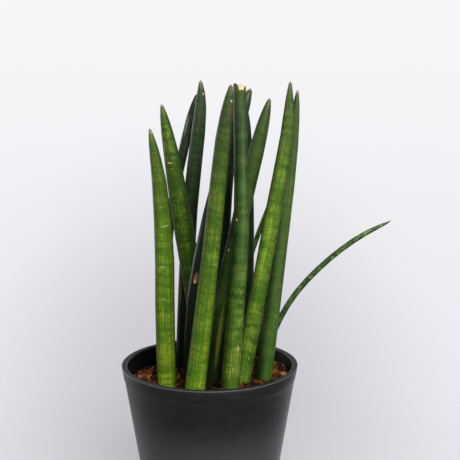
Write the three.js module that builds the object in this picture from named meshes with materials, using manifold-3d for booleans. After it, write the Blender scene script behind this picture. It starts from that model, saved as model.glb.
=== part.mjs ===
// A cylindrical snake plant in a black plastic pot: twelve thick upright leaves and two thin young ones
// stand in coir chips. Millimetres, +Z up, origin at the middle of the underside of the pot.
import * as THREE from 'three';
import { mergeVertices } from 'three/addons/utils/BufferGeometryUtils.js';
import Module from 'manifold-3d';

const wasm = await Module();
wasm.setup();

// The pot, a cone frustum with a slightly proud collar under a thick flat rim
const potHeight = 150;
const rimRadius = 84.5;
const baseRadius = 60;
const rimWidth = 5.2;
const rimRound = 1.3;
const collarHeight = 12;
const collarProud = 0.9;
const wallThickness = 4;
const floorThickness = 4;
const baseChamfer = 2;
const potSides = 64;

// The planting medium, lower on the left than on the right and banked up at the wall, with a mound
const soilLevel = 132;
const soilTilt = 0.04;
const soilBank = 5;
const soilShoulder = 8;
const soilSetback = 0.1;
const soilSides = 40;
const soilRings = 6;
const mound = { x: 64, y: 24, height: 3, width: 12 };

// Chips of coir husk in the surface, as [least, most] of each size
const chipCount = 44;
const chipSeed = 11;
const chipLength = [6, 11];
const chipWidth = [4, 7];
const chipHeight = [3, 5];
const chipTilt = [-0.35, 0.35];
const chipLift = [0, 0.4];
const chipEdgeMargin = 9;

// The gap between pieces that touch, and the sockets that the leaves stand in
const touchGap = 0.3;
const socketSides = 16;
const socketOver = 14;

// The leaves, ribbed along their length and drawn out to a short dry spine
const rootDepth = 44;
const youngRootDepth = 26;
const leafRibs = 12;
const ribDepth = 0.05;
const youngSides = 12;
const channelDepth = 0.45;
const channelSpread = 0.5;
const cutEdgeRound = 1;
const tipShape = 0.55;
const firstStep = 1.2;
const stepGrowth = 1.8;
const longestStep = 38;
const youngLongestStep = 15;

// Each spine runs up the middle of a leaf: [x, y, height above the soil level], from the soil to the tip.
// foot is the thickness at the soil, body what it narrows to at the top before the tip draws in, and taper
// the length over which it draws in. A taper of 0 is a leaf cut off flat, and twist is in radians.
const leaves = [
  {
    name: 'leaf_left_outer', colour: 0x5f7f24, foot: 18.2, body: 17.7, taper: 140, twist: 0.3,
    spine: [[-40.5, -16, 0], [-41.5, -16.5, 68.5], [-41.5, -17, 137], [-46, -17, 200.5], [-53.5, -17, 244.5]],
  },
  {
    name: 'leaf_left_inner', colour: 0x3f5c1e, foot: 19, body: 18.3, taper: 120, twist: -0.2,
    spine: [[-4, 23, 0], [-13.5, 15, 74.5], [-24.5, 7.5, 148.5], [-35, 2, 218], [-43.5, -1.5, 265.5]],
  },
  {
    name: 'leaf_back_slim', colour: 0x33481f, foot: 9.8, body: 9.2, taper: 34, twist: 0.4,
    spine: [[-45, 19, 0], [-44.5, 26, 76.5], [-39, 35, 153], [-24.5, 42.5, 224], [-12.5, 46, 273]],
  },
  {
    name: 'leaf_back_tall', colour: 0x2c411d, foot: 16.4, body: 13.2, taper: 58, twist: 0.2,
    spine: [
      [-27, 38, 0], [-24, 37.5, 80], [-19.5, 36, 160.5], [-11.2, 33.5, 235], [-8.2, 31.8, 266],
      [-8.3, 31, 286.5],
    ],
  },
  {
    name: 'leaf_diagonal', colour: 0x35501f, foot: 18, body: 13.7, taper: 44, twist: -0.4,
    spine: [[-15, -22, 0], [-13, -18, 78.5], [0.5, -13, 157], [20.5, -7.5, 230], [38.5, -3, 280]],
  },
  {
    name: 'leaf_front', colour: 0x567520, foot: 19.4, body: 12.6, taper: 52, twist: 0.3,
    spine: [[-13.5, -45, 0], [-4, -45.5, 80], [5, -46, 159.5], [13, -47, 234], [20.5, -48, 285]],
  },
  {
    name: 'leaf_front_cut', colour: 0x496920, foot: 18.2, body: 11.3, taper: 0, twist: -0.2,
    spine: [[19, -30, 0], [25, -29.5, 79], [30, -29, 158.5], [29, -27.5, 232], [28, -26, 283.5]],
  },
  {
    name: 'leaf_right_inner', colour: 0x4b6a22, foot: 17, body: 14.2, taper: 62, twist: 0.2,
    spine: [[2.5, -4, 0], [12.5, -3.5, 76], [27.5, -3, 152], [44, -2.5, 222.5], [56, -2, 271]],
  },
  {
    name: 'leaf_right_tall', colour: 0x55772a, foot: 16, body: 14.6, taper: 110, twist: 0.3,
    spine: [[30.5, -14, 0], [44.5, -15.5, 80.5], [58.5, -16.5, 160.5], [71, -17, 235], [74, -17, 287]],
  },
  {
    name: 'leaf_right_outer', colour: 0x3f5c24, foot: 15.6, body: 14.8, taper: 120, twist: -0.3,
    spine: [[51.5, -8, 0], [60, -3, 78], [68.7, 0.5, 156], [77, 1.5, 228.5], [81.8, 1, 278.5]],
  },
  {
    name: 'leaf_back_middle', colour: 0x2b3f1a, foot: 16, body: 14.4, taper: 60, twist: 0.3,
    spine: [[9.5, 48, 0], [10.5, 46, 73.5], [12.5, 44, 147], [17.5, 42, 215.5], [21.5, 41, 262.5]],
  },
  {
    name: 'leaf_back_right', colour: 0x35491f, foot: 16, body: 13.5, taper: 50, twist: -0.3,
    spine: [[34.5, 35, 0], [35, 32, 75.5], [35.5, 28.5, 151], [34, 25.5, 221.5], [32, 23, 270]],
  },
  {
    name: 'young_leaf_slim', colour: 0x4c6530, foot: 6, body: 5.4, taper: 40, young: true,
    spine: [[24, 55, 0], [28.5, 54.5, 56], [40, 53.5, 112.5], [58.5, 52.5, 164.5], [73.5, 51.5, 200.5]],
  },
  {
    name: 'young_leaf_arching', colour: 0x4a6136, foot: 6.6, body: 5.2, taper: 40, young: true,
    spine: [
      [51, 20, 0], [59, 21, 35], [79, 22, 75.5], [108.5, 23, 109], [143.5, 24, 136.5], [175.5, 24.5, 152.9],
    ],
  },
];

// A repeatable source of numbers from 0 to 1
function seededRandom(seed) {
  let state = seed;
  return () => {
    state = (state * 1664525 + 1013904223) % 4294967296;
    return state / 4294967296;
  };
}

function between([least, most], random) {
  return least + (most - least) * random();
}

// Joins the vertices of a closed shape and drops the empty triangles at its poles
function closedShape(geometry) {
  const shape = geometry.clone();
  shape.deleteAttribute('normal');
  shape.deleteAttribute('uv');
  const merged = mergeVertices(shape, 0.001);
  const corners = merged.index.array;
  const kept = [];
  for (let i = 0; i < corners.length; i += 3) {
    const [a, b, c] = corners.slice(i, i + 3);
    if (a !== b && b !== c && c !== a) kept.push(a, b, c);
  }
  merged.setIndex(kept);
  return merged;
}

function toSolid(geometry) {
  const shape = closedShape(geometry);
  return new wasm.Manifold(new wasm.Mesh({
    numProp: 3,
    vertProperties: Float32Array.from(shape.attributes.position.array),
    triVerts: Uint32Array.from(shape.index.array),
  }));
}

function toGeometry(solid) {
  const { vertProperties, triVerts } = solid.getMesh();
  const geometry = new THREE.BufferGeometry();
  geometry.setAttribute('position', new THREE.BufferAttribute(vertProperties, 3));
  geometry.setIndex(new THREE.BufferAttribute(triVerts, 1));
  return geometry;
}

// Moves every vertex of a geometry to where a function of it says
function reshape(geometry, move) {
  const places = geometry.attributes.position;
  const vertex = new THREE.Vector3();
  for (let i = 0; i < places.count; i += 1) {
    const moved = move(vertex.fromBufferAttribute(places, i));
    places.setXYZ(i, moved.x, moved.y, moved.z);
  }
  return geometry;
}

// A shape turned about +Z, from its outline as [radius, height] pairs
function turned(outline, sides) {
  const points = outline.map(([radius, height]) => new THREE.Vector2(radius, height));
  return new THREE.LatheGeometry(points, sides).rotateX(Math.PI / 2);
}

function material(colour, roughness) {
  return new THREE.MeshStandardMaterial({ color: colour, roughness, metalness: 0 });
}

function namedMesh(name, geometry, finish) {
  const mesh = new THREE.Mesh(geometry, finish);
  mesh.name = name;
  return mesh;
}

// Outer radius of the pot's plain wall at a height above its base
function wallRadius(height) {
  return THREE.MathUtils.mapLinear(height, 0, potHeight, baseRadius, rimRadius - collarProud);
}

function potGeometry() {
  const collarFoot = potHeight - collarHeight;
  const innerRim = rimRadius - rimWidth;
  return turned([
    [0, 0],
    [baseRadius - baseChamfer, 0],
    [wallRadius(baseChamfer), baseChamfer],
    [wallRadius(potHeight / 2), potHeight / 2],
    [wallRadius(collarFoot - 1), collarFoot - 1],
    [wallRadius(collarFoot) + collarProud, collarFoot],
    [rimRadius - 0.1, potHeight - rimRound],
    [rimRadius - rimRound * 0.3, potHeight - rimRound * 0.3],
    [rimRadius - rimRound, potHeight],
    [innerRim + rimRound / 2, potHeight],
    [innerRim, potHeight - rimRound / 2],
    [wallRadius(collarFoot) - wallThickness, collarFoot],
    [wallRadius(floorThickness) - wallThickness, floorThickness],
    [0, floorThickness],
  ], potSides);
}

// Height of the medium's surface above the soil level
function soilRise(x, y) {
  const bank = soilBank * (Math.hypot(x, y) / wallRadius(soilLevel)) ** 5;
  const fromMound = Math.hypot(x - mound.x, y - mound.y) / mound.width;
  const heap = mound.height * Math.exp(-(fromMound ** 2) / 2);
  const lumps = 0.9 * Math.sin(x / 9 + 1) * Math.cos(y / 11) + 0.6 * Math.sin(x / 5 - y / 6);
  return soilTilt * x + bank + heap + lumps;
}

// The medium with its bumpy surface, in the frame of the soil level
function soilBody() {
  const bottom = floorThickness + touchGap - soilLevel;
  const radiusAt = (height) => wallRadius(height + soilLevel) - wallThickness - touchGap - soilSetback;
  const edge = radiusAt(-soilShoulder);
  const outline = [[0, bottom], [radiusAt(bottom), bottom], [edge, -soilShoulder]];
  for (let ring = soilRings; ring >= 0; ring -= 1) {
    outline.push([(edge - soilSetback) * ring / soilRings, 0]);
  }
  return reshape(turned(outline, soilSides), (vertex) => {
    if (vertex.z > -soilShoulder / 2) vertex.z += soilRise(vertex.x, vertex.y);
    return vertex;
  });
}

// The chips lie half sunk in the surface, at any angle
function chipSolids() {
  const random = seededRandom(chipSeed);
  const spread = wallRadius(soilLevel) - wallThickness - chipEdgeMargin;
  const chips = [];
  for (let i = 0; i < chipCount; i += 1) {
    const radius = spread * Math.sqrt(random());
    const angle = 2 * Math.PI * random();
    const sizes = [chipLength, chipWidth, chipHeight].map((range) => between(range, random));
    const chip = new THREE.BoxGeometry(...sizes);
    chip.rotateX(between(chipTilt, random));
    chip.rotateY(between(chipTilt, random));
    chip.rotateZ(Math.PI * random());
    const x = radius * Math.cos(angle);
    const y = radius * Math.sin(angle);
    chip.translate(x, y, soilRise(x, y) + between(chipLift, random));
    chips.push(toSolid(chip));
  }
  return chips;
}

function buriedLength(leaf) {
  return leaf.young ? youngRootDepth : rootDepth;
}

// The spine of a leaf as a curve, carried straight on below the soil to the foot
function spineCurve(leaf) {
  const points = leaf.spine.map((place) => new THREE.Vector3(...place));
  const down = points[0].clone().sub(points[1]).normalize();
  points.unshift(points[0].clone().addScaledVector(down, buriedLength(leaf)));
  return new THREE.CatmullRomCurve3(points);
}

// Radius of a leaf at a distance from its tip
function leafRadius(leaf, fromTip, length) {
  const along = Math.min(fromTip / (length - buriedLength(leaf)), 1);
  const full = THREE.MathUtils.lerp(leaf.body, leaf.foot, along) / 2;
  const near = leaf.taper > 0 ? Math.min(fromTip / leaf.taper, 1) : 1;
  return full * (1 - (1 - near) ** 2) ** tipShape;
}

// Outline of a straight leaf as [radius, distance from the foot], with close steps near the tip
function leafOutline(leaf, length) {
  const foot = leaf.foot / 2;
  const outline = [[0, 0], [foot * 0.7, 0], [foot, foot * 0.5]];
  const rings = [];
  let step = leaf.taper > 0 ? firstStep : longestStep / 2;
  for (let fromTip = step; fromTip < length - foot * 2; fromTip += step) {
    rings.unshift([leafRadius(leaf, fromTip, length), length - fromTip]);
    step = Math.min(step * stepGrowth, leaf.young ? youngLongestStep : longestStep);
  }
  outline.push(...rings);
  if (leaf.taper === 0) {
    const rim = leafRadius(leaf, 0, length);
    outline.push([rim, length - cutEdgeRound], [rim - cutEdgeRound, length]);
  }
  outline.push([0, length]);
  return outline;
}

// Share of the round radius that is left at an angle round the leaf
function sectionShape(leaf, angle) {
  if (leaf.young) {
    const fromChannel = Math.abs(Math.PI - Math.abs(angle));
    return 1 - channelDepth * Math.exp(-((fromChannel / channelSpread) ** 2));
  }
  return 1 - ribDepth * (0.5 - 0.5 * Math.cos(leafRibs * angle));
}

// A leaf: a straight ribbed blank, bent so that its axis follows the spine
function leafGeometry(leaf) {
  const curve = spineCurve(leaf);
  const length = curve.getLength();
  const sides = leaf.young ? youngSides : leafRibs * 2;
  const outline = leafOutline(leaf, length).map(([radius, along]) => new THREE.Vector2(radius, along));
  const blank = new THREE.LatheGeometry(outline, sides);
  const depthAxis = new THREE.Vector3(0, 1, 0);
  return reshape(blank, (vertex) => {
    const along = THREE.MathUtils.clamp(vertex.y / length, 0, 1);
    const angle = Math.atan2(vertex.z, vertex.x);
    const radius = Math.hypot(vertex.x, vertex.z) * sectionShape(leaf, angle);
    const turn = angle + (leaf.twist ?? 0) * along;
    const tangent = curve.getTangentAt(along);
    const side = new THREE.Vector3().crossVectors(depthAxis, tangent).normalize();
    const front = new THREE.Vector3().crossVectors(side, tangent);
    return curve.getPointAt(along)
      .addScaledVector(side, radius * Math.cos(turn))
      .addScaledVector(front, radius * Math.sin(turn));
  });
}

// The plain round hole in the medium that a leaf stands in
function socketSolid(leaf) {
  const curve = spineCurve(leaf);
  const low = curve.getPointAt(0);
  const up = curve.getTangentAt(0);
  const radius = (leaf.foot / 2 + touchGap) / Math.cos(Math.PI / socketSides);
  const height = buriedLength(leaf) + touchGap + socketOver;
  const hole = new THREE.CylinderGeometry(radius, radius, height, socketSides);
  hole.translate(0, height / 2 - touchGap, 0);
  hole.applyQuaternion(new THREE.Quaternion().setFromUnitVectors(new THREE.Vector3(0, 1, 0), up));
  hole.translate(low.x, low.y, low.z);
  return toSolid(hole);
}

function soilGeometry() {
  let solid = toSolid(soilBody());
  for (const chip of chipSolids()) solid = solid.add(chip);
  for (const leaf of leaves) solid = solid.subtract(socketSolid(leaf));
  const [largest] = solid.decompose().sort((a, b) => b.volume() - a.volume());
  return toGeometry(largest);
}

const plantedPot = new THREE.Group();
plantedPot.add(namedMesh('pot', closedShape(potGeometry()), material(0x242426, 0.6)));

const planting = new THREE.Group();
planting.position.z = soilLevel;
planting.add(namedMesh('soil', soilGeometry(), material(0x4a2c16, 0.95)));
for (const leaf of leaves) {
  planting.add(namedMesh(leaf.name, closedShape(leafGeometry(leaf)), material(leaf.colour, 0.45)));
}
plantedPot.add(planting);

export default plantedPot;
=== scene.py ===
import math
import random

import bmesh
import bpy
from mathutils import Matrix, Vector, noise


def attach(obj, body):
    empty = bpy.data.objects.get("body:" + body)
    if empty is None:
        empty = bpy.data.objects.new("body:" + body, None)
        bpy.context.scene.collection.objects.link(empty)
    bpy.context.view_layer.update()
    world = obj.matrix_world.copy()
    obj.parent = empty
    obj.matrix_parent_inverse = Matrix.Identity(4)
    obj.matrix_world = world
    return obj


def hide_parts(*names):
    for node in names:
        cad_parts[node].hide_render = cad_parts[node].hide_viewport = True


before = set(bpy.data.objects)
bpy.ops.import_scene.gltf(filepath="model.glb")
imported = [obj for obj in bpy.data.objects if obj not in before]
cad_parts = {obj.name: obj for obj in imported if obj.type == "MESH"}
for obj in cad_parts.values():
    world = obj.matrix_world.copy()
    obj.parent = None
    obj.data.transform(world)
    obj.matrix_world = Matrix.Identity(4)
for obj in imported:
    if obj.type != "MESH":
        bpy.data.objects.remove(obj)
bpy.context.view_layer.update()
scene = bpy.context.scene
scene.view_settings.view_transform = "Standard"
print("frame loaded:", len(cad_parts), "nodes")

weld = {"round": 0.00002, "leaf": 0.000002, "frame": 0.00003}  # closer points than this are one, in metres


def colour(red, green, blue):  # 0 to 255 as seen on screen, to the linear values that shaders use
    parts = [c / 255 for c in (red, green, blue)]
    return tuple(c / 12.92 if c <= 0.04045 else ((c + 0.055) / 1.055) ** 2.4 for c in parts) + (1.0,)


def mix(low, high, share):
    return low + (high - low) * share


def newObject(name, bm, material, smooth=True):
    mesh = bpy.data.meshes.new(name)
    bm.to_mesh(mesh)
    bm.free()
    mesh.materials.append(material)
    if smooth:
        mesh.polygons.foreach_set("use_smooth", [True] * len(mesh.polygons))
    piece = bpy.data.objects.new(name, mesh)
    scene.collection.objects.link(piece)
    return piece


def place(piece, node):  # a piece that stands for a node of the frame
    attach(piece, "root")
    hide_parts(node)


def spinRound(bm, steps):  # turns the edges drawn beside the upright axis into a closed body
    bmesh.ops.spin(bm, geom=bm.verts[:] + bm.edges[:], axis=(0, 0, 1), cent=(0, 0, 0), angle=2 * math.pi,
                   steps=steps, use_merge=True)
    bmesh.ops.remove_doubles(bm, verts=bm.verts, dist=weld["round"])
    bmesh.ops.recalc_face_normals(bm, faces=bm.faces)


def grow(bm, edges):  # extrudes a loop of edges and gives the new points and the new loop
    grown = bmesh.ops.extrude_edge_only(bm, edges=edges)["geom"]
    ring = [item for item in grown if isinstance(item, bmesh.types.BMVert)]
    inRing = set(ring)
    loop = [item for item in grown if isinstance(item, bmesh.types.BMEdge)
            and all(vert in inRing for vert in item.verts)]
    return ring, loop


class Wire:  # a socket that can be used in expressions
    def __init__(self, tree, socket):
        self.tree, self.socket = tree, socket

    def maths(self, operation, *others):
        return self.tree.add("ShaderNodeMath", {"operation": operation}, self, *others)

    def __add__(self, other):
        return self.maths("ADD", other)

    def __sub__(self, other):
        return self.maths("SUBTRACT", other)

    def __mul__(self, other):
        return self.maths("MULTIPLY", other)

    def __truediv__(self, other):
        return self.maths("DIVIDE", other)

    def __rsub__(self, other):
        return self.tree.add("ShaderNodeMath", {"operation": "SUBTRACT"}, other, self)

    __radd__ = __add__
    __rmul__ = __mul__

    def ramp(self, low, high):  # 0 at low, 1 at high, smooth between them
        settings = {"interpolation_type": "SMOOTHSTEP"}
        return self.tree.add("ShaderNodeMapRange", settings, self, low, high, 0.0, 1.0)


class NodeTree:
    def __init__(self, tree):
        self.nodes, self.links = tree.nodes, tree.links

    def feed(self, socket, value):
        if isinstance(value, Wire):
            self.links.new(value.socket, socket)
        else:
            socket.default_value = value

    def add(self, kind, settings=None, *values, out=0, **named):
        node = self.nodes.new(kind)
        for key, value in (settings or {}).items():
            if key == "stops":
                stops = node.color_ramp.elements
                while len(stops) < len(value):
                    stops.new(0.5)
                for stop, (position, tint) in zip(stops, value):
                    stop.position, stop.color = position, tint
            else:
                setattr(node, key, value)
        for socket, value in zip(node.inputs, values):
            self.feed(socket, value)
        for key, value in named.items():
            self.feed(node.inputs[key], value)
        return Wire(self, node.outputs[out])

    def vector(self, x, y, z):
        return self.add("ShaderNodeCombineXYZ", None, x, y, z)

    def axes(self, vector):
        node = self.add("ShaderNodeSeparateXYZ", None, vector).socket.node
        return [Wire(self, output) for output in node.outputs]

    def noise(self, vector, scale=1.0, detail=2.0, roughness=0.5):
        return self.add("ShaderNodeTexNoise", None, Vector=vector, Scale=scale, Detail=detail,
                        Roughness=roughness)

    def random(self, number):  # one random value for each number
        return self.add("ShaderNodeTexWhiteNoise", {"noise_dimensions": "1D"}, W=number)

    def blend(self, share, low, high, how="MIX"):
        mixed = self.add("ShaderNodeMix", {"data_type": "RGBA", "blend_type": how}, share, out=2)
        sockets = mixed.socket.node.inputs  # the colours of a Mix node are its sockets 6 and 7
        self.feed(sockets[6], low)
        self.feed(sockets[7], high)
        return mixed

    def bump(self, height, strength, distance):
        return self.add("ShaderNodeBump", None, Height=height, Strength=strength, Distance=distance)


class Shader(NodeTree):
    def __init__(self, name):
        self.material = bpy.data.materials.new(name)
        self.material.use_nodes = True
        super().__init__(self.material.node_tree)
        self.surface = self.nodes["Principled BSDF"]

    def objectSpot(self):
        return self.add("ShaderNodeTexCoord", out=3)

    def finish(self, **sockets):
        for key, value in sockets.items():
            self.feed(self.surface.inputs[key.replace("_", " ")], value)
        return self.material


cameraSetup = {
    "place": (0.0195, -0.9274, 0.4422),
    "pitch": 9.94,  # degrees down
    "focal": 1000,  # in pixels of a picture this wide
    "picture": 460,
    "sensor": 36,
    "clipEnd": 50,
}


def makeCamera():
    data = bpy.data.cameras.new("camera")
    data.sensor_width = cameraSetup["sensor"]
    data.lens = cameraSetup["focal"] / cameraSetup["picture"] * cameraSetup["sensor"]
    data.clip_end = cameraSetup["clipEnd"]
    camera = bpy.data.objects.new("camera", data)
    camera.location = cameraSetup["place"]
    camera.rotation_euler = (math.radians(90 - cameraSetup["pitch"]), 0, 0)
    scene.collection.objects.link(camera)
    scene.camera = camera


makeCamera()
print("camera placed")

stage = {  # a pale floor that fades into a pale backdrop
    "floorSize": 6.0,
    "floorTint": colour(222, 221, 228),
    "floorRough": 0.9,
    "floorGloss": 0.1,
    "clear": (0.2, 0.7, 1.0),  # how clear the floor is under the pot, near it and far from it
    "clearAt": (0.062, 0.12, 0.45),
    "backLow": colour(232, 232, 239),
    "backHigh": colour(247, 247, 249),
    "backFade": (-0.42, 0.12),
    "shadeTint": colour(200, 197, 204),  # a painted soft shadow on the backdrop behind the plant, seen only by camera rays
    "shadeAt": (-0.03, 0.94, -0.36),
    "shadeSize": (0.28, 1.0, 0.32),
    "shadeFade": (1.0, 0.1),
    "roomLight": (0.05, 0.6),  # light from the room in front and from the backdrop
    "roomFade": (0.2, 0.85),
}
lamps = [  # place, where it points, size across and up, watts
    {"name": "lamp_key", "at": (0.35, -1.3, 1.2), "to": (0, 0, 0.28), "size": (0.8, 0.6), "power": 31},
    {"name": "lamp_left", "at": (-1.3, -0.7, 0.8), "to": (0, 0, 0.2), "size": (0.7, 0.9), "power": 2.5},
    {"name": "lamp_right", "at": (1.3, -0.7, 0.8), "to": (0, 0, 0.2), "size": (0.7, 0.9), "power": 5},
    {"name": "lamp_top", "at": (0.1, 0.0, 1.8), "to": (0, 0, 0.2), "size": (1.5, 1.3), "power": 2.5},
    {"name": "lamp_back", "at": (-1.3, 0.9, 0.4), "to": (0, 0, 0.12), "size": (0.9, 0.8), "power": 7},
]


def makeStage():
    bm = bmesh.new()
    bmesh.ops.create_grid(bm, x_segments=2, y_segments=2, size=stage["floorSize"] / 2)
    shader = Shader("floor_paper")
    x, y, _ = shader.axes(shader.objectSpot())
    away = (x * x + y * y).maths("SQRT")
    under, near, far = stage["clear"]
    first, second, last = stage["clearAt"]
    clear = under + away.ramp(first, second) * (near - under) + away.ramp(second, last) * (far - near)
    shader.finish(Base_Color=stage["floorTint"], Roughness=stage["floorRough"],
                  Specular_IOR_Level=stage["floorGloss"])
    paper = Wire(shader, shader.surface.outputs[0])
    both = shader.add("ShaderNodeMixShader", None, clear, paper, shader.add("ShaderNodeBsdfTransparent"))
    shader.feed(shader.nodes["Material Output"].inputs["Surface"], both)
    newObject("floor", bm, shader.material, smooth=False)


def makeWorld():
    world = bpy.data.worlds.new("room")
    scene.world = world
    world.use_nodes = True
    room = NodeTree(world.node_tree)
    heading = room.add("ShaderNodeTexCoord")
    _, y, z = room.axes(heading)
    seen = room.blend(z.ramp(*stage["backFade"]), stage["backLow"], stage["backHigh"])
    fromShade = room.add("ShaderNodeMapping", {"vector_type": "TEXTURE"}, heading,
                         Location=stage["shadeAt"], Scale=stage["shadeSize"])
    far = room.add("ShaderNodeVectorMath", {"operation": "LENGTH"}, fromShade, out=1)
    # painted shadow on the backdrop, round a fixed direction behind the plant
    seen = room.blend(far.ramp(*stage["shadeFade"]), seen, stage["shadeTint"])
    front, back = stage["roomLight"]
    level = front + y.ramp(*stage["roomFade"]) * (back - front)
    light = room.add("ShaderNodeVectorMath", {"operation": "SCALE"}, stage["backHigh"][:3], Scale=level)
    toCamera = room.add("ShaderNodeLightPath")
    room.feed(room.nodes["Background"].inputs["Color"], room.blend(toCamera, light, seen))


def makeLamps():
    for lamp in lamps:
        data = bpy.data.lights.new(lamp["name"], "AREA")
        data.shape = "RECTANGLE"
        data.size, data.size_y = lamp["size"]
        data.energy = lamp["power"]
        light = bpy.data.objects.new(lamp["name"], data)
        light.location = lamp["at"]
        aim = Vector(lamp["to"]) - Vector(lamp["at"])
        light.rotation_euler = aim.to_track_quat("-Z", "Y").to_euler()
        scene.collection.objects.link(light)


makeStage()
makeWorld()
makeLamps()
print("stage and lamps placed")

pot = {  # metres
    "height": 0.150,
    "rimRadius": 0.0845,
    "baseRadius": 0.060,
    "rimWidth": 0.0052,
    "rimRound": 0.0008,
    "collarHeight": 0.012,
    "collarProud": 0.0009,
    "collarStep": 0.0024,
    "collarRound": 0.002,
    "wall": 0.004,
    "floor": 0.004,
    "footRound": 0.002,
    "footRing": 0.0015,
    "footInset": 0.9,
    "steps": 256,
    "wallCuts": 14,
    "plastic": colour(16, 16, 18),
    "plasticWornAndLit": colour(52, 52, 57),
    "paintedReflection": colour(96, 97, 100),
    # inner: the inside painted darker than the plastic, as shade
    "inner": colour(6, 6, 7),
    "rimTop": colour(30, 30, 32),
    "scuffs": 0.5,
    "clouds": 0.1,
    "paintedSheen": 0.42,
    "sideSheen": 0.16,
    "footReflection": 0.34,
    "rimTopHighlight": 0.2,
    "rimLineHighlight": 0.5,
    "rough": 0.44,
    "sheen": 0.16,
    "sheenRough": 0.4,
    "insideRough": 0.5,
    "insideGloss": 0.25,
}


def wallRadius(height):  # outside of the plain wall
    return mix(pot["baseRadius"], pot["rimRadius"] - pot["collarProud"], height / pot["height"])


def plasticShader():
    top, rim = pot["height"], pot["rimRadius"]
    shader = Shader("pot_plastic")
    spot = shader.objectSpot()
    x, y, z = shader.axes(spot)
    around = y.maths("ARCTAN2", x)
    away = (x * x + y * y).maths("SQRT")
    streaks = shader.noise(shader.vector(around * 2.2, z * 620 + x * 60, 0.0), 1.0, 3.0, 0.65)
    patches = shader.noise(shader.vector(around * 2.5, z * 60, 3.0))
    cloud = shader.noise(spot, 26.0, 4.0, 0.6)
    grain = shader.noise(spot, 2600.0, 1.0)
    nicks = shader.noise(shader.vector(around * 14, z * 300, 7.0), 1.0, 2.0, 0.6)
    scuffs = streaks.ramp(0.48, 0.68) * patches.ramp(0.44, 0.64)
    # painted reflection of the floor, paler towards the bottom, and a painted sheen on the left side
    paintedSheen = (1 - z.ramp(0.03, 0.115)) * pot["paintedSheen"] + (0 - x).ramp(0.0, 0.09) * pot["sideSheen"]
    wearAndSheen = scuffs * pot["scuffs"] + cloud.ramp(0.4, 0.75) * pot["clouds"] + paintedSheen
    # edge: a painted highlight near the rim's top; outer: a painted highlight line along the rim's outer
    # corner, its width varied by nicks
    edge = z.ramp(top - 0.0022, top - 0.0002)
    outer = (away - nicks * 0.001).ramp(rim - 0.0014, rim - 0.0009) * z.ramp(top - 0.0013, top - 0.0008)
    # real scuffs and clouds mixed with the painted reflection and sheen
    tint = shader.blend(wearAndSheen, pot["plastic"], pot["plasticWornAndLit"])
    # painted reflection of the floor on the lower wall
    tint = shader.blend((1 - z.ramp(0.072, 0.12)) * pot["footReflection"], tint, pot["paintedReflection"])
    tint = shader.blend(edge * pot["rimTopHighlight"], tint, pot["plasticWornAndLit"])
    tint = shader.blend(outer * pot["rimLineHighlight"], tint, pot["paintedReflection"])
    return shader.finish(
        Base_Color=tint, Roughness=pot["rough"] + streaks * 0.1 + cloud * 0.08,
        Normal=shader.bump(streaks * 0.5 + grain * 0.5, 0.12, 0.00015),
        Sheen_Weight=pot["sheen"], Sheen_Roughness=pot["sheenRough"])


def insideShader():
    top = pot["height"]
    shader = Shader("pot_inside")
    spot = shader.objectSpot()
    _, _, z = shader.axes(spot)
    soft = shader.noise(spot, 90.0, 3.0, 0.6)
    # the inside is painted darker than the plastic, as shade, up to the rim's top
    tint = shader.blend(soft.ramp(0.5, 0.8) * 0.35, pot["inner"], pot["plastic"])
    tint = shader.blend(z.ramp(top - 0.002, top - 0.0004), tint, pot["rimTop"])
    return shader.finish(Base_Color=tint, Roughness=pot["insideRough"],
                         Specular_IOR_Level=pot["insideGloss"])


def makePot():
    top, rim, base = pot["height"], pot["rimRadius"], pot["baseRadius"]
    ring, floor, wall = pot["footRing"], pot["floor"], pot["wall"]
    inner = rim - pot["rimWidth"]
    collarFoot = top - pot["collarHeight"]
    collarWall = wallRadius(collarFoot)
    corners = [  # radius, height, rounding
        (0, ring, 0),
        (base * pot["footInset"], ring, 0.0005),
        (base * pot["footInset"] + ring, 0, 0.0005),
        (base - 0.0002, 0, pot["footRound"]),
        (collarWall - 0.0001, collarFoot - pot["collarStep"], pot["collarRound"]),
        (collarWall + pot["collarProud"], collarFoot, pot["collarRound"]),
        (rim, top - 0.0006, 0),
        (rim - pot["rimRound"] * 0.35, top, pot["rimRound"]),
        (inner, top, 0.0007),
        (inner - 0.0001, top - 0.0022, 0.0006),
        (collarWall - wall, collarFoot, 0.0015),
        (wallRadius(floor) - wall, floor, 0.003),
        (0, floor, 0),
    ]
    bm = bmesh.new()
    verts = [bm.verts.new((radius, 0, height)) for radius, height, _ in corners]
    for a, b in zip(verts, verts[1:]):
        bm.edges.new((a, b))
    for vert, (_, _, size) in zip(verts, corners):
        if size:
            bmesh.ops.bevel(bm, geom=[vert], offset=size, offset_type="OFFSET", affect="VERTICES",
                            segments=5, profile=0.5, material=-1)
    tall = [edge for edge in bm.edges if edge.calc_length() > 0.03]
    bmesh.ops.subdivide_edges(bm, edges=tall, cuts=pot["wallCuts"])
    spinRound(bm, pot["steps"])
    for face in bm.faces:  # the inside, painted dark as shade, and the rim's flat top are a second material
        spot = face.calc_center_median()
        hollow = spot.z > floor - 0.001 and spot.xy.length < wallRadius(spot.z) - 0.003
        flatTop = spot.z > top - 0.0003 and face.normal.z > 0.9
        if flatTop or (hollow and spot.z < top - 0.0012):
            face.material_index = 1
    piece = newObject("pot_shell", bm, plasticShader())
    piece.data.materials.append(insideShader())
    place(piece, "pot")


makePot()
print("pot made")

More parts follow.
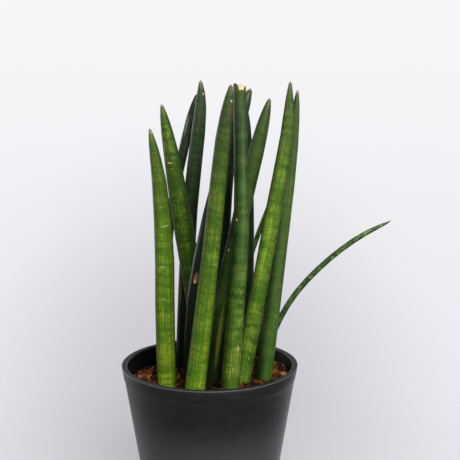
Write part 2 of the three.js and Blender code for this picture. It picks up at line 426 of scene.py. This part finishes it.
medium = {  # the planting medium, in metres
    "level": 0.132,
    "bottom": 0.0043,
    "clear": 0.0004,
    "tilt": 0.04,
    "bank": 0.005,
    "mound": (0.064, 0.024),
    "moundHeight": 0.003,
    "moundWidth": 0.012,
    "rings": 64,
    "steps": 220,
    "crumb": 0.0014,
    "gapShade": [  # painted shade between the leaf feet: across, back, reach, share
        (0.012, -0.056, 0.02, 0.75),
        (0.042, -0.042, 0.02, 0.6),
        (-0.004, -0.02, 0.022, 0.75),
        (0.036, -0.006, 0.02, 0.5),
        (-0.036, 0.004, 0.018, 0.45),
    ],
    "chips": 1000,
    "chipKinds": 9,
    "chipLong": (0.0035, 0.0105),
    "chipWide": (0.4, 0.75),  # of its length
    "chipThick": (0.18, 0.42),
    "chipRise": (-0.0012, 0.0014),
    "chipLean": 0.38,
    "chipTone": (1.7, 2.9),
    "paleChips": 0.05,
    "fibres": 520,
    "fibreThick": (0.00012, 0.00032),
    "fibreStep": (0.0012, 0.0030),
    "fibreSteps": 6,
    "fibreCurl": 0.35,
    "fibreArch": (0.0003, 0.0022),
    "fibreTone": (0.3, 0.9),
    "seed": 5,
    "rough": 0.85,
    "gloss": 0.12,
}
huskTints = [
    (0.0, colour(10, 5, 3)),
    (0.25, colour(40, 20, 9)),
    (0.5, colour(98, 54, 24)),
    (0.75, colour(150, 92, 46)),
    (0.93, colour(184, 134, 88)),
    (1.0, colour(222, 200, 186)),
]


def mediumRise(x, y):  # height of the surface at a place
    u, v = x * 1000, y * 1000
    bank = medium["bank"] * (math.hypot(x, y) / wallRadius(medium["level"])) ** 5
    mx, my = medium["mound"]
    fromMound = math.hypot(x - mx, y - my) / medium["moundWidth"]
    heap = medium["moundHeight"] * math.exp(-fromMound ** 2 / 2)
    lumps = 0.9 * math.sin(u / 9 + 1) * math.cos(v / 11) + 0.6 * math.sin(u / 5 - v / 6)
    return medium["level"] + medium["tilt"] * x + bank + heap + lumps / 1000


def unshaded(x, y):  # 1 in the open, less in the painted shade between the leaf feet
    gapShade = 0.0
    for across, back, reach, share in medium["gapShade"]:
        far = math.hypot(x - across, y - back) / reach
        gapShade = max(gapShade, share * math.exp(-far ** 2))
    return 1 - gapShade


def huskShader():
    shader = Shader("coir_husk")
    spot = shader.objectSpot()
    tone = shader.add("ShaderNodeAttribute", {"attribute_name": "tone"}, out=2)
    patch = shader.noise(spot, 190.0, 3.0, 0.6)
    thread = shader.noise(spot, 1500.0, 3.0, 0.7)
    value = tone + (patch - 0.5) * 0.5 + (thread - 0.5) * 0.55
    tint = shader.add("ShaderNodeValToRGB", {"stops": huskTints}, value)
    return shader.finish(
        Base_Color=tint, Roughness=medium["rough"], Specular_IOR_Level=medium["gloss"],
        Normal=shader.bump(thread * 0.6 + patch * 0.4, 0.8, 0.0008))


def makeBed(husk, reach):
    top, bottom = medium["level"], medium["bottom"]
    gap = pot["wall"] + medium["clear"]
    bm = bmesh.new()
    tone = bm.verts.layers.float.new("tone")
    line = [bm.verts.new((reach * i / medium["rings"], 0, top)) for i in range(medium["rings"] + 1)]
    line.append(bm.verts.new((wallRadius(top - 0.01) - gap, 0, top - 0.01)))
    line.append(bm.verts.new((wallRadius(bottom) - gap, 0, bottom)))
    line.append(bm.verts.new((0, 0, bottom)))
    for a, b in zip(line, line[1:]):
        bm.edges.new((a, b))
    spinRound(bm, medium["steps"])
    for vert in bm.verts:
        if vert.co.z > top - 0.005:
            lump = noise.fractal(vert.co * 330, 0.9, 2.0, 3)
            vert.co.z = mediumRise(vert.co.x, vert.co.y) + medium["crumb"] * lump - 0.0006
            # the bed is kept dark as painted shade in the gaps between the chips
            vert[tone] = 0.17 + 0.16 * lump
    place(newObject("medium_bed", bm, husk), "soil")


def chipMaster(draw):  # one rough block of husk
    bm = bmesh.new()
    bmesh.ops.create_cube(bm, size=1)
    bmesh.ops.subdivide_edges(bm, edges=bm.edges, cuts=1, use_grid_fill=True)
    for vert in bm.verts:
        vert.co += Vector([draw.uniform(-0.17, 0.17) for _ in range(3)])
        vert.co *= mix(1.0, 0.8 / max(vert.co.length, 0.4), 0.35)
    mesh = bpy.data.meshes.new("chip")
    bm.to_mesh(mesh)
    bm.free()
    return mesh


def makeChips(draw, husk, reach):
    masters = [chipMaster(draw) for _ in range(medium["chipKinds"])]
    bm = bmesh.new()
    tone = bm.verts.layers.float.new("tone")
    for _ in range(medium["chips"]):
        first = len(bm.verts)
        bm.from_mesh(draw.choice(masters))
        bm.verts.ensure_lookup_table()
        verts = bm.verts[first:]
        long = draw.uniform(*medium["chipLong"])
        wide = long * draw.uniform(*medium["chipWide"])
        thick = long * draw.uniform(*medium["chipThick"])
        radius = (reach - 0.005) * math.sqrt(draw.random())
        angle = draw.uniform(0, 2 * math.pi)
        x, y = radius * math.cos(angle), radius * math.sin(angle)
        spot = Matrix.Translation((x, y, mediumRise(x, y) + draw.uniform(*medium["chipRise"])))
        turn = Matrix.Rotation(draw.uniform(0, 2 * math.pi), 4, "Z")
        lean = Matrix.Rotation(draw.gauss(0, medium["chipLean"]), 4, "X")
        lean = lean @ Matrix.Rotation(draw.gauss(0, medium["chipLean"]), 4, "Y")
        size = Matrix.Diagonal((long, wide, thick, 1))
        bmesh.ops.transform(bm, matrix=spot @ turn @ lean @ size, verts=verts)
        value = draw.betavariate(*medium["chipTone"])
        if draw.random() < medium["paleChips"]:
            value += 0.4
        value = min(value, 1) * unshaded(x, y)
        for vert in verts:
            vert[tone] = value
    place(newObject("medium_chips", bm, husk, smooth=False), "soil")


def makeFibres(draw, husk, reach):
    whole = bmesh.new()
    tone = whole.verts.layers.float.new("tone")
    strand = bpy.data.meshes.new("strand")
    steps = medium["fibreSteps"]
    for _ in range(medium["fibres"]):
        radius = (reach - 0.006) * math.sqrt(draw.random())
        angle = draw.uniform(0, 2 * math.pi)
        heading = draw.uniform(0, 2 * math.pi)
        spot = Vector((radius * math.cos(angle), radius * math.sin(angle)))
        thick = draw.uniform(*medium["fibreThick"])
        step = draw.uniform(*medium["fibreStep"])
        curl = draw.gauss(0, medium["fibreCurl"])
        arch = draw.uniform(*medium["fibreArch"])
        value = draw.uniform(*medium["fibreTone"]) * unshaded(*spot)
        bm = bmesh.new()
        ring = bmesh.ops.create_circle(bm, cap_ends=True, radius=thick, segments=3)["verts"]
        edges = bm.edges[:]
        near = Matrix.Identity(4)
        for i in range(steps + 1):
            spot += Vector((math.cos(heading), math.sin(heading))) * step
            heading += curl
            if spot.length > reach - 0.002:
                spot *= (reach - 0.002) / spot.length
            rise = mediumRise(spot.x, spot.y) + 0.0007 + arch * math.sin(math.pi * i / steps)
            here = Matrix.Translation((spot.x, spot.y, rise)) @ Matrix.Rotation(heading, 4, "Z")
            here = here @ Matrix.Rotation(math.pi / 2, 4, "Y")
            if i:
                ring, edges = grow(bm, edges)
            bmesh.ops.transform(bm, matrix=here @ near.inverted(), verts=ring)
            near = here
        bmesh.ops.contextual_create(bm, geom=ring)
        bmesh.ops.recalc_face_normals(bm, faces=bm.faces)
        bm.to_mesh(strand)
        bm.free()
        first = len(whole.verts)
        whole.from_mesh(strand)
        whole.verts.ensure_lookup_table()
        for vert in whole.verts[first:]:
            vert[tone] = value
    place(newObject("medium_fibres", whole, husk, smooth=False), "soil")


def makeMedium():
    draw = random.Random(medium["seed"])
    husk = huskShader()
    reach = wallRadius(medium["level"]) - pot["wall"] - medium["clear"]
    makeBed(husk, reach)
    makeChips(draw, husk, reach)
    makeFibres(draw, husk, reach)


makeMedium()
print("planting medium made")

leafBuild = {
    "ribs": 20,
    "perRib": 7,
    "step": 0.0032,
    "footSkip": 0.016,
    "footLead": 0.010,
    "grooveDepth": 0.034,
    "grooveWidth": 0.22,
    "wobble": 0.010,
    "tipSteps": (0.0022, 0.0014, 0.0008, 0.0004),
    "tipBlunt": 0.75,
}
youngBuild = {"ribs": 12, "around": 28, "step": 0.003, "channelDepth": 0.45, "channelSpread": 0.5}
cutEnd = {
    "rings": ((0.985, 0.0007), (0.9, 0.0013), (0.72, 0.0012), (0.45, 0.0004), (0.15, 0.0001)),  # scale, rise
    "below": 0.0012,
    "bump": 0.0016,
    "notch": 0.0012,
    "rough": 0.0009,
    "fleshDeep": 0.0058,
    "fleshLess": 0.003,
    "flesh": (colour(178, 132, 84), colour(238, 212, 168)),
}
skin = {
    "shadow": (0.06, 0.1, 0.08, 1),  # these four multiply the leaf's own green: painted shade, the deep and the pale bands, and painted light
    "deep": (0.24, 0.37, 0.28, 1),
    "pale": (1.65, 1.5, 1.7, 1),
    "paintedLight": (1.9, 1.55, 1.1, 1),
    # how dark the painted shade along the leaf's edges is
    "edge": 0.6,
    "fade": 0.3,  # how much weaker the bands are at the tip
    "wide": (0.62, 0.5),  # shares of the deep and the pale green
    "band": (0.78, 0.5),
    "line": 0.95,
    "fleck": (0.62, 0.36),
    "dash": 0.14,
    "strand": 0.5,
    "rib": 0.45,
    "fibre": 0.4,
    "ragged": 0.0034,
    "nearTip": colour(150, 140, 60),
    "nearTipShare": 0.14,
    "dryTip": (colour(104, 80, 56), colour(172, 152, 126)),
    "rough": 0.42,
    "gloss": 0.2,
    "coat": 0.2,
    "coatRough": 0.2,
}

tan = colour(216, 184, 116)
paleScratch = colour(150, 172, 136)
paleSpot = colour(192, 204, 136)
brown = colour(140, 98, 66)
yellowish = colour(176, 182, 60)
grooveShadeStripe = colour(20, 36, 14)
sheenStripe = colour(112, 130, 84)
mottled = colour(128, 150, 84)

# low, mid and top are tints up the leaf, and behind is the tint of its back, all as seen on screen; on the
# leaves with a behind tint the dark low and mid tints on the front are painted shade
# shade is how dark the painted shade on the left and right sides is and how far across the left one reaches
# marks are in millimetres: across, up the leaf, half width, half height, lean, strength, tint
usualLook = {"shade": (0.3, 0.3, -0.1), "rings": 0.7, "dry": 0.0014, "marks": []}
leafLooks = {
    "leaf_left_outer": {
        "slot": "leaf_bright", "low": (135, 162, 37), "mid": (127, 158, 38), "top": (108, 130, 37),
        "shade": (0.25, 0.3, -0.3), "bands": 0.8, "dry": 0.0042,
        "marks": [
            (-0.6, 172, 1.5, 0.9, 0, 0.6, paleScratch), (1.3, 154.6, 4.4, 0.8, 0.9, 0.85, paleScratch),
            (-1.2, 117, 3.6, 0.8, 0.1, 0.8, paleScratch), (-0.8, 86, 1.8, 0.8, 0, 0.7, paleScratch),
            (-1.9, 73, 0.9, 10, 0, 0.35, yellowish),
        ],
    },
    "leaf_left_inner": {
        "slot": "leaf_green", "low": (58, 80, 20), "mid": (87, 113, 29), "top": (104, 130, 43),
        "shade": (0.15, 0.4, -0.3), "rings": 1.0, "bands": 1.05, "dry": 0.002, "behind": (88, 114, 32),
        "marks": [
            (-3.4, 212.5, 0.9, 0.9, 0, 1, tan), (-1.1, 212.1, 0.9, 0.9, 0, 1, tan),
            (-2.2, 210.6, 1.2, 0.7, 0, 0.6, brown), (-1.6, 206.4, 1.2, 0.8, 0, 0.5, paleScratch),
        ],
    },
    "leaf_back_slim": {
        "slot": "leaf_dark", "low": (13, 19, 8), "mid": (26, 35, 19), "top": (51, 62, 44),
        "shade": (0.2, 0.2, -0.1), "bands": 0.6, "behind": (66, 88, 30),
        "marks": [(-2.4, 244, 0.7, 11, -0.3, 0.55, paleScratch)],
    },
    "leaf_back_tall": {
        "slot": "leaf_dark", "low": (15, 23, 9), "mid": (47, 62, 31), "top": (81, 97, 62),
        "bands": 0.7, "dry": 0.0026, "behind": (84, 110, 36),
        "marks": [(2.3, 273.8, 0.7, 1.4, 0, 0.8, tan), (-5, 83, 0.8, 17, 1.0, 0.7, brown)],
    },
    "leaf_diagonal": {
        "slot": "leaf_dark", "low": (16, 24, 10), "mid": (36, 48, 23), "top": (62, 80, 40),
        "bands": 0.4, "dry": 0.0018, "behind": (76, 100, 32),
        "marks": [(-3.1, 105.6, 2.3, 5.6, 0, 0.95, brown), (-3.4, 102.4, 1.6, 2.0, 0, 0.9, tan)],
    },
    "leaf_front": {
        "slot": "leaf_bright", "low": (127, 159, 38), "mid": (119, 145, 43), "top": (77, 96, 45),
        "shade": (0.3, 0.12, -0.1), "paintedLight": 0.4, "bands": 0.8,
        "marks": [(2.5, 273, 0.9, 0.9, 0, 0.9, paleSpot), (3.4, 264, 2.8, 11, 0, 0.1, brown)],
    },
    "leaf_front_cut": {
        "slot": "leaf_green", "low": (134, 160, 55), "mid": (103, 132, 58), "top": (80, 104, 54),
        "shade": (0.72, 0.3, 0.3), "bands": 1.45, "rings": 0.35, "cut": True,
        "marks": [
            # a painted shade stripe along a deep groove and a painted sheen stripe beside it
            (-4.4, 200, 1.6, 90, 0, 0.4, grooveShadeStripe), (2.2, 195, 1.5, 80, 0, 0.24, sheenStripe),
            (-4.2, 163, 0.8, 1.3, -0.3, 1, tan), (3.9, 43.5, 0.5, 3.0, 0, 0.8, tan),
            (5.2, 42.5, 0.5, 3.0, 0, 0.8, tan), (2, 23.2, 0.8, 1.1, 0, 0.7, tan),
        ],
    },
    "leaf_right_inner": {
        "slot": "leaf_green", "low": (28, 44, 10), "mid": (85, 110, 39), "top": (96, 116, 52),
        "shade": (0.6, 0.25, 0.0), "bands": 0.9, "rings": 0.4, "behind": (90, 116, 38),
        "marks": [(0.9, 48, 2.4, 34, 0, 0.2, yellowish), (-4.6, 131, 0.9, 1.3, 0, 0.9, tan)],
    },
    "leaf_right_tall": {
        "slot": "leaf_bright", "low": (111, 140, 43), "mid": (140, 170, 54), "top": (99, 121, 51),
        "shade": (0.1, 0.48, -0.3), "bands": 1.45, "rings": 0.35, "dry": 0.002,
        "marks": [(1.6, 29, 0.7, 1.2, 0, 0.8, paleScratch)],
    },
    "leaf_right_outer": {
        "slot": "leaf_green", "low": (93, 125, 47), "mid": (101, 124, 57), "top": (102, 120, 60),
        "shade": (0.97, 0.0, 0.3), "bands": 0.6, "rings": 0.4, "dry": 0.003,
        "bow": (0.176, 0.016, -0.001, 0.13),  # height, reach, shift across and growth of a fuller stretch
    },
    "leaf_back_middle": {
        "slot": "leaf_dark", "low": (14, 20, 9), "mid": (42, 56, 27), "top": (70, 88, 47),
        "bands": 0.4, "behind": (80, 106, 34),
    },
    "leaf_back_right": {
        "slot": "leaf_dark", "low": (30, 44, 19), "mid": (51, 66, 30), "top": (72, 87, 49),
        "bands": 0.8, "behind": (92, 118, 38),
    },
    "young_leaf_slim": {
        "slot": "young_leaf", "low": (80, 112, 36), "mid": (96, 128, 44), "top": (96, 130, 48),
        "bands": 1.6, "mottle": 0.45,
    },
    "young_leaf_arching": {
        "slot": "young_leaf", "low": (62, 92, 40), "mid": (80, 108, 52), "top": (86, 108, 56),
        "bands": 1.7, "mottle": 0.6,
    },
}


def stations(node, step):  # centre and radius at steps along a leaf of the frame, foot to tip, and its tip
    bm = bmesh.new()
    bm.from_mesh(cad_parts[node].data)
    bmesh.ops.remove_doubles(bm, verts=bm.verts, dist=weld["frame"])

    def section(point, normal):
        cut = bmesh.ops.bisect_plane(bm, geom=bm.verts[:] + bm.edges[:] + bm.faces[:], dist=1e-7,
                                     plane_co=point, plane_no=normal)["geom_cut"]
        ring = [item.co.copy() for item in cut if isinstance(item, bmesh.types.BMVert)]
        if len(ring) < 5:
            return None
        centre = sum(ring, Vector()) / len(ring)
        return centre, max((spot - centre).length for spot in ring)

    low = min(vert.co.z for vert in bm.verts) + leafBuild["footSkip"]
    up = Vector((0, 0, 1))
    start, _ = section(Vector((0, 0, low)), up)
    above, _ = section(Vector((0, 0, low + leafBuild["footLead"])), up)
    heading = (above - start).normalized()
    found = []
    point = start
    while True:
        ring = section(point, heading)
        if ring is None:
            break
        centre, radius = ring
        if found:
            heading = (centre - found[-1][0]).normalized()
        found.append((centre, radius))
        point = centre + heading * step
    tip = max((vert.co for vert in bm.verts), key=lambda spot: (spot - start).dot(heading)).copy()
    bm.free()
    return found, tip


def smoothed(values, rounds):
    for _ in range(rounds):
        inner = [(a + b * 2 + c) / 4 for a, b, c in zip(values, values[1:], values[2:])]
        values = [values[0], *inner, values[-1]]
    return values


def leafLine(name, look, seed, young):  # centres and radii along a leaf, its tip and where its end points
    found, tip = stations(name, youngBuild["step"] if young else leafBuild["step"])
    spots = [centre for centre, _ in found]
    radii = [radius for _, radius in found]
    if "cut" in look:
        heading = (spots[-1] - spots[-3]).normalized()
        spots.append(spots[-1] + heading * ((tip - spots[-1]).dot(heading) - cutEnd["below"]))
        radii.append(radii[-1])
    else:
        last, endRadius = (tip - spots[-1]).length, radii[-1]
        heading = (tip - spots[-1]).normalized()
        for gap in leafBuild["tipSteps"]:
            if gap < last:
                spots.append(tip - heading * gap)
                radii.append(endRadius * (gap / last) ** leafBuild["tipBlunt"])
    if "bow" in look:
        height, reach, shift, growth = look["bow"]
        bells = [math.exp(-((spot.z - height) / reach) ** 2) for spot in spots]
        spots = [spot + Vector((shift * bell, 0, 0)) for spot, bell in zip(spots, bells)]
        radii = [radius * (1 + growth * bell) for radius, bell in zip(radii, bells)]
    radii = smoothed(radii, 2)
    if not young:
        waves = [noise.noise(spot * 38 + Vector((seed, 0, 0))) + 0.8 for spot in spots]
        radii = [radius * (1 + leafBuild["wobble"] * wave) for radius, wave in zip(radii, waves)]
    return spots, radii, tip, heading


def youngProfile(bm):  # a unit circle with a channel on its left
    ring = bmesh.ops.create_circle(bm, radius=1, segments=youngBuild["around"])["verts"]
    for vert in ring:
        angle = math.atan2(vert.co.y, vert.co.x)
        fromChannel = abs(math.pi - abs(angle)) / youngBuild["channelSpread"]
        vert.co *= 1 - youngBuild["channelDepth"] * math.exp(-fromChannel ** 2)
    return ring


def ribbedProfile(bm, draw):  # a unit circle with a groove between each rib and the next
    ribs = leafBuild["ribs"]
    ring = bmesh.ops.create_circle(bm, radius=1, segments=ribs * leafBuild["perRib"])["verts"]
    depths = [leafBuild["grooveDepth"] * draw.uniform(0.35, 1.0) for _ in range(ribs)]
    for vert in ring:
        turns = (math.atan2(vert.co.y, vert.co.x) % (2 * math.pi)) / (2 * math.pi) * ribs
        gap = abs(turns - round(turns))
        depth = depths[round(turns) % ribs]
        vert.co *= 1 - depth * max(0.0, 1 - gap / leafBuild["grooveWidth"])
    return ring


def sweep(bm, profile, spots, radii, straight):  # carries a unit profile along a leaf
    along, alongs = 0.0, []
    for i, spot in enumerate(spots):
        along += (spot - spots[i - 1]).length if i else 0
        alongs.append(along)
    level = next((a for a, spot in zip(alongs, spots) if spot.z > medium["level"]), 0)
    frames = []
    for i, spot in enumerate(spots):
        tangent = (spots[min(i + 1, len(spots) - 1)] - spots[max(i - 1, 0)]).normalized()
        side = Vector((0, 1, 0)).cross(tangent).normalized()
        depth = tangent.cross(side)
        turn = Matrix((side, depth, tangent)).transposed().to_4x4()
        frames.append(Matrix.Translation(spot) @ turn @ Matrix.Diagonal((radii[i], radii[i], 1, 1)))
    bmesh.ops.transform(bm, matrix=frames[0], verts=profile)
    rings, edges = [profile], bm.edges[:]
    for near, here in zip(frames, frames[1:]):
        ring, edges = grow(bm, edges)
        bmesh.ops.transform(bm, matrix=here @ near.inverted(), verts=ring)
        rings.append(ring)
    for ring, here, radius, along in zip(rings, frames, radii, alongs):
        back = here.inverted()
        for vert in ring:
            local = back @ vert.co
            vert[straight] = Vector((local.x * radius, local.y * radius, along - level))
    return rings, edges, alongs[-1] - level


def closeCutTop(bm, edges, straight, centre, heading, radius, length):  # a jagged, hollowed end
    for scale, rise in cutEnd["rings"]:
        ring, edges = grow(bm, edges)
        for vert in ring:
            flat = vert.co - centre
            flat -= heading * flat.dot(heading)
            across = flat.x / radius
            bump = cutEnd["bump"] * max(0.0, min(1.0, (-0.25 - across) / 0.25)) * scale
            notch = cutEnd["notch"] * math.exp(-((across + 0.2) / 0.14) ** 2)
            lift = rise + cutEnd["rough"] * noise.noise(vert.co * 520) + bump - notch
            vert.co = centre + flat.normalized() * radius * scale + heading * lift
            vert[straight] = Vector((flat.x * scale, flat.y * scale, length + rise))
    bmesh.ops.pointmerge(bm, verts=ring, merge_co=centre + heading * 0.0001)


def closePointedTip(bm, ring, straight, tip, length):
    bmesh.ops.pointmerge(bm, verts=ring, merge_co=tip)
    for vert in bm.verts:
        if (vert.co - tip).length < 1e-6:
            vert[straight] = Vector((0, 0, length + 0.0004))


def leafGreen(shader, look, across, y, share):  # the plain green, with painted shade on its sides and edges where the leaf is in shade
    base = shader.blend(share.ramp(0.05, 0.5), colour(*look["low"]), colour(*look["mid"]))
    base = shader.blend(share.ramp(0.5, 0.95), base, colour(*look["top"]))
    # the back keeps the leaf's own green, the front tints hold painted shade
    if "behind" in look:
        base = shader.blend(y.ramp(0.0006, 0.005), base, colour(*look["behind"]))
    left, right, reach = look["shade"]
    dark = shader.blend(1.0, base, skin["shadow"], "MULTIPLY")
    base = shader.blend((1 - across.ramp(-1.0, reach)) * left, base, dark)
    base = shader.blend(across.ramp(0.1, 1.0) * right, base, dark)
    if "paintedLight" in look:  # a painted lit strip low on the right-hand side
        bright = shader.blend(1.0, base, skin["paintedLight"], "MULTIPLY")
        strip = across.ramp(0.0, 0.6) * (1 - across.ramp(0.7, 0.9)) * (1 - share.ramp(0.1, 0.55))
        base = shader.blend(strip * look["paintedLight"], base, bright)
    # painted shade along the leaf's edges
    return shader.blend(across.maths("ABSOLUTE").ramp(0.84, 1.0) * skin["edge"], base, dark)


def leafTip(shader, look, tint, x, fromTip, speckle):  # the dry end, or the flesh of the cut one
    tint = shader.blend((1 - fromTip.ramp(0.002, 0.012)) * skin["nearTipShare"], tint, skin["nearTip"])
    if "cut" in look:
        middle = x.ramp(-0.0014, -0.0004) - x.ramp(0.0034, 0.0044) * 0.45
        deepEnd = middle * cutEnd["fleshDeep"] - cutEnd["fleshLess"]
        dry = 1 - (fromTip + (speckle - 0.5) * 0.0012 - deepEnd).ramp(-0.0002, 0.0006)
        withered = shader.blend(speckle.ramp(0.32, 0.5), *cutEnd["flesh"])
    else:
        dry = 1 - (fromTip + (speckle - 0.5) * 0.0016 - look["dry"]).ramp(-0.0007, 0.0007)
        withered = shader.blend(speckle.ramp(0.35, 0.65), *skin["dryTip"])
    return shader.blend(dry, tint, withered), dry


def leafShader(name, look, length, seed, ribs):
    shader = Shader(name + "_skin")
    spot = shader.add("ShaderNodeAttribute", {"attribute_name": "straight"}, out=1)
    x, y, z = shader.axes(spot)
    across = x / ((x * x + y * y).maths("SQRT") + 0.00001)
    around = y.maths("ARCTAN2", x) * (ribs / (2 * math.pi))
    rib, border = around.maths("FLOOR"), around.maths("ROUND")
    toGroove = (around - border).maths("ABSOLUTE")
    groove = (1 - toGroove.ramp(0.05, 0.24)) * (0.4 + shader.random(border + seed) * 0.6)
    ribShade = shader.random(rib + seed * 2 + 30)
    ragged = z + (shader.random(rib + seed) - 0.5) * skin["ragged"]
    wide = shader.noise(shader.vector(x * 18 + seed * 3.7, y * 18, z * 58), 1.0, 2.0, 0.55)
    band = shader.noise(shader.vector(x * 45, y * 45 + seed * 2.3, ragged * 135), 1.0, 3.0, 0.65)
    line = shader.noise(shader.vector(x * 60 + seed, y * 60, (z * 0.8 + ragged * 0.2) * 470), 1.0, 1.0)
    fibre = shader.noise(shader.vector(x * 900, y * 900, z * 20 + seed), 1.0, 2.0, 0.6)
    dash = shader.noise(shader.vector(x * 420 + seed, y * 420, ragged * 380))
    fleck = shader.noise(shader.vector(around * 1.3 + seed, ragged * 270, seed), 1.0, 1.0)
    strand = shader.noise(shader.vector(around * 0.8, seed * 5, z * 14), 1.0, 2.0, 0.6)
    speckle = shader.noise(spot, 700.0, 2.0, 0.6)

    share = z / length
    base = leafGreen(shader, look, across, y, share)
    deep = shader.blend(1.0, base, skin["deep"], "MULTIPLY")
    pale = shader.blend(1.0, base, skin["pale"], "MULTIPLY")
    strength = look["bands"] * (1 - share * skin["fade"])
    rings = look["rings"]
    tint = shader.blend((1 - wide.ramp(0.4, 0.52)) * (skin["wide"][0] * strength), base, deep)
    tint = shader.blend(wide.ramp(0.5, 0.6) * (skin["wide"][1] * strength), tint, pale)
    tint = shader.blend((1 - band.ramp(0.38, 0.5)) * (skin["band"][0] * strength), tint, deep)
    tint = shader.blend(band.ramp(0.52, 0.64) * (skin["band"][1] * strength), tint, pale)
    tint = shader.blend((1 - line.ramp(0.4, 0.5)) * (skin["line"] * rings), tint, deep)
    tint = shader.blend((1 - fleck.ramp(0.36, 0.5)) * (skin["fleck"][0] * rings), tint, deep)
    tint = shader.blend(fleck.ramp(0.54, 0.68) * (skin["fleck"][1] * rings), tint, pale)
    tint = shader.blend(dash.ramp(0.54, 0.7) * skin["dash"], tint, pale)
    tint = shader.blend((1 - strand.ramp(0.38, 0.52)) * skin["strand"], tint, deep)
    tint = shader.blend(ribShade * skin["rib"], tint, deep)
    tint = shader.blend(fibre.ramp(0.4, 0.65) * skin["fibre"], tint, deep)
    # painted shade in the grooves
    tint = shader.blend(groove, tint, deep)
    if "mottle" in look:  # pale spots of a young leaf
        spots = shader.noise(shader.vector(x * 260, y * 260 + seed, z * 190), 1.0, 1.0)
        tint = shader.blend(spots.ramp(0.5, 0.66) * share.ramp(0.3, 0.5) * look["mottle"], tint, mottled)
    tint, dry = leafTip(shader, look, tint, x, length - z, speckle)
    for right, up, halfWide, halfHigh, lean, strong, scar in look["marks"]:
        dx = (x * 1000 - right + (dash - 0.5) * halfWide) / halfWide
        dz = (z * 1000 - up - dx * lean + (speckle - 0.5) * halfHigh) / halfHigh
        far = (dx * dx + dz * dz).maths("SQRT")
        tint = shader.blend((1 - far.ramp(0.5, 1.15)) * (1 - y.ramp(-0.0006, 0.0)) * strong, tint, scar)

    height = fibre * 0.35 + dash * 0.25 + band * 0.2 - groove * 0.5
    return shader.finish(
        Base_Color=tint, Roughness=skin["rough"] + fibre * 0.12 + groove * 0.12 + dry * 0.35,
        Normal=shader.bump(height, 0.35, 0.0003), Specular_IOR_Level=skin["gloss"],
        Coat_Weight=skin["coat"], Coat_Roughness=skin["coatRough"])


def makeLeaf(name, look, seed):
    young = name.startswith("young")
    spots, radii, tip, heading = leafLine(name, look, seed, young)
    bm = bmesh.new()
    straight = bm.verts.layers.float_vector.new("straight")
    profile = youngProfile(bm) if young else ribbedProfile(bm, random.Random(int(seed * 10)))
    rings, edges, length = sweep(bm, profile, spots, radii, straight)
    if "cut" in look:
        closeCutTop(bm, edges, straight, spots[-1], heading, radii[-1], length)
    else:
        closePointedTip(bm, rings[-1], straight, tip, length)
    bmesh.ops.contextual_create(bm, geom=rings[0])
    bmesh.ops.remove_doubles(bm, verts=bm.verts, dist=weld["leaf"])
    bmesh.ops.recalc_face_normals(bm, faces=bm.faces)
    ribs = (youngBuild if young else leafBuild)["ribs"]
    piece = newObject(name + "_shape", bm, leafShader(name, look, length, seed, ribs))
    place(piece, name)


for number, (name, look) in enumerate(leafLooks.items()):
    makeLeaf(name, {**usualLook, **look}, number * 1.7 + 0.9)
    print("leaf made:", name)
